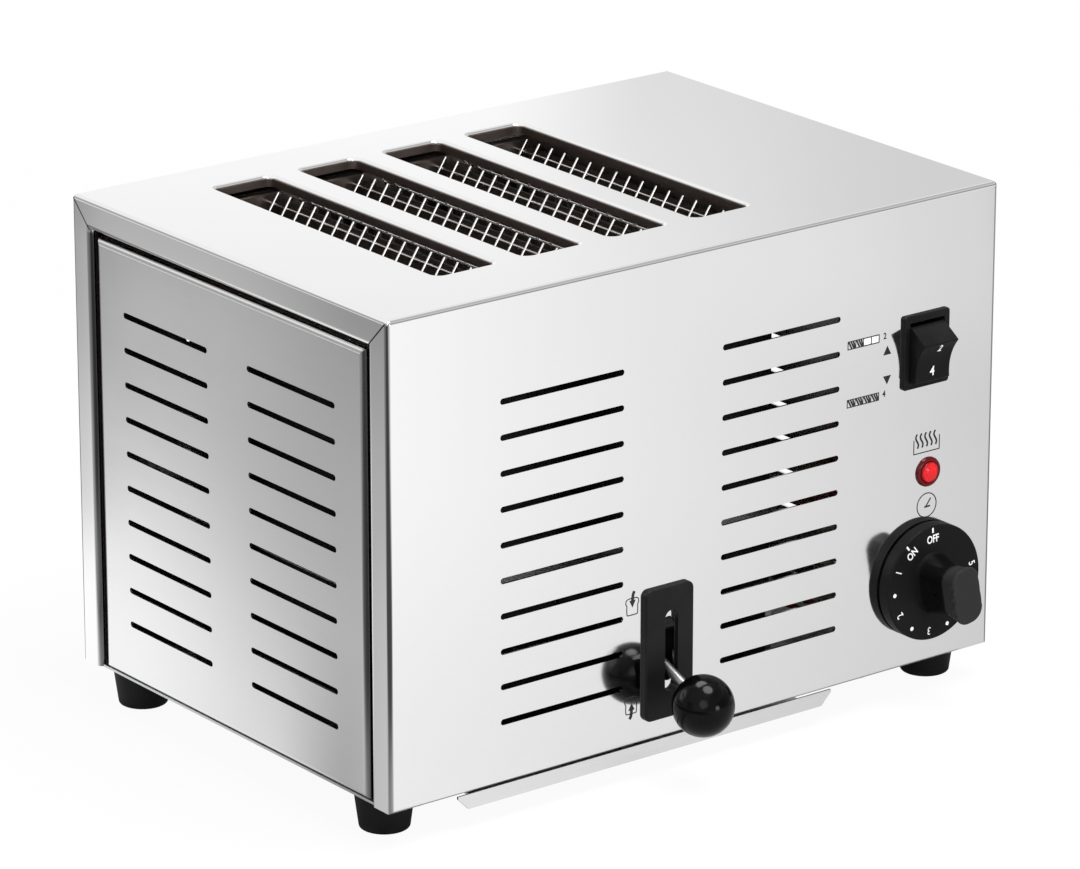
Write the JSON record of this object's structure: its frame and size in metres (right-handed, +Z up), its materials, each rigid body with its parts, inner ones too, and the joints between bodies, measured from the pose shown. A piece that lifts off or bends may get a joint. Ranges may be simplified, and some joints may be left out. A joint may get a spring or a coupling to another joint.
{
  "type": "commercial toaster",
  "caption": "Free-standing steel toaster with long bread slots in the top, louvred sides, a ball-ended lift lever, a rocker switch, a lamp, a timer knob and a crumb tray",
  "frame": {"origin": "On the standing surface, under the middle of the box round the whole toaster at rest", "axes": "+X to the right seen from the front, +Y to the back, +Z up; the controls face -Y"},
  "size_m": [0.304, 0.2607, 0.213],
  "materials": {
    "polished_steel": "polished stainless steel with a faint grain",
    "satin_steel": "satin stainless steel",
    "sheet_steel": "plain sheet steel",
    "tray_steel": "satin stainless steel",
    "zinc_steel": "zinc plated",
    "bright_steel": "bright turned steel",
    "chamber_steel": "sheet steel browned by heat",
    "wire_steel": "drawn steel wire",
    "mica": "flaked mica board",
    "heating_ribbon": "oxidised resistance ribbon",
    "foot_rubber": "matt black rubber",
    "matt_black": "moulded, satin black",
    "gloss_black": "glossy phenolic",
    "switch_black": "moulded black",
    "knob_black": "moulded black with white marks",
    "lamp_collar_red": "dark red plastic",
    "lamp_red": "clear red plastic",
    "timer_case": "cream phenolic",
    "wire_cover": "silicone sleeving"
  },
  "bodies": {
    "housing": {"outer_housing": "polished_steel", "left_side_panel": "satin_steel", "right_side_panel": "satin_steel", "base_plate": "sheet_steel", "foot_front_left": "foot_rubber", "foot_front_right": "foot_rubber", "foot_rear_left": "foot_rubber", "foot_rear_right": "foot_rubber", "foot_screws": "zinc_steel", "foot_nuts": "zinc_steel", "base_screws": "zinc_steel", "left_tray_runner": "sheet_steel", "right_tray_runner": "sheet_steel", "chamber_front_wall": "chamber_steel", "chamber_rear_wall": "chamber_steel", "chamber_left_wall": "chamber_steel", "chamber_right_wall": "chamber_steel", "heater_card_1": "mica", "heater_ribbon_1": "heating_ribbon", "heater_card_2": "mica", "heater_ribbon_2": "heating_ribbon", "heater_card_3": "mica", "heater_ribbon_3": "heating_ribbon", "heater_card_4": "mica", "heater_ribbon_4": "heating_ribbon", "heater_card_5": "mica", "heater_ribbon_5": "heating_ribbon", "bread_cage_1": "wire_steel", "bread_cage_2": "wire_steel", "bread_cage_3": "wire_steel", "bread_cage_4": "wire_steel", "guide_rod_left": "bright_steel", "guide_rod_right": "bright_steel", "rod_brackets": "zinc_steel", "shaft_bearings": "zinc_steel", "lever_escutcheon": "matt_black", "rocker_housing": "switch_black", "lamp_collar": "lamp_collar_red", "lamp_lens": "lamp_red", "timer_body": "timer_case", "timer_nut": "zinc_steel", "terminal_block": "timer_case", "thermal_cutout": "zinc_steel", "cable_gland": "matt_black", "gland_nut": "matt_black", "wiring": "wire_cover"},
    "lever": {"lever_shaft": "bright_steel", "lift_arm_left": "zinc_steel", "lift_arm_right": "zinc_steel", "lever_rod": "bright_steel", "lever_ball": "gloss_black"},
    "bread_lift": {"lift_frame": "zinc_steel", "bread_rest_1": "wire_steel", "bread_rest_2": "wire_steel", "bread_rest_3": "wire_steel", "bread_rest_4": "wire_steel"},
    "timer_dial": {"timer_knob": "knob_black", "timer_spindle": "bright_steel"},
    "rocker": {"rocker_button": "switch_black"},
    "crumb_drawer": {"crumb_tray": "tray_steel"}
  },
  "joints": [
    {"name": "lever_swing", "type": "hinge", "parent": "housing", "child": "lever", "pos_m": [-0.0164, -0.07425, 0.0526], "axis": [-1, 0, 0], "range_deg": [0, 45]},
    {"name": "bread_drop", "type": "slide", "parent": "housing", "child": "bread_lift", "axis": [0, 0, -1], "range_m": [0, 0.0398]},
    {"name": "timer_turn", "type": "hinge", "parent": "housing", "child": "timer_dial", "pos_m": [0.1168, -0.09565, 0.0513], "axis": [0, 1, 0], "range_deg": [0, 275]},
    {"name": "rocker_tip", "type": "hinge", "parent": "housing", "child": "rocker", "pos_m": [0.1145, -0.09165, 0.1498], "axis": [-1, 0, 0], "range_deg": [0, 34]},
    {"name": "tray_slide", "type": "slide", "parent": "housing", "child": "crumb_drawer", "axis": [0, -1, 0], "range_m": [0, 0.205]}
  ],
  "couplings": [
    {"joint": "bread_drop", "follows": "lever_swing", "m_per_rad": 0.050674}
  ]
}
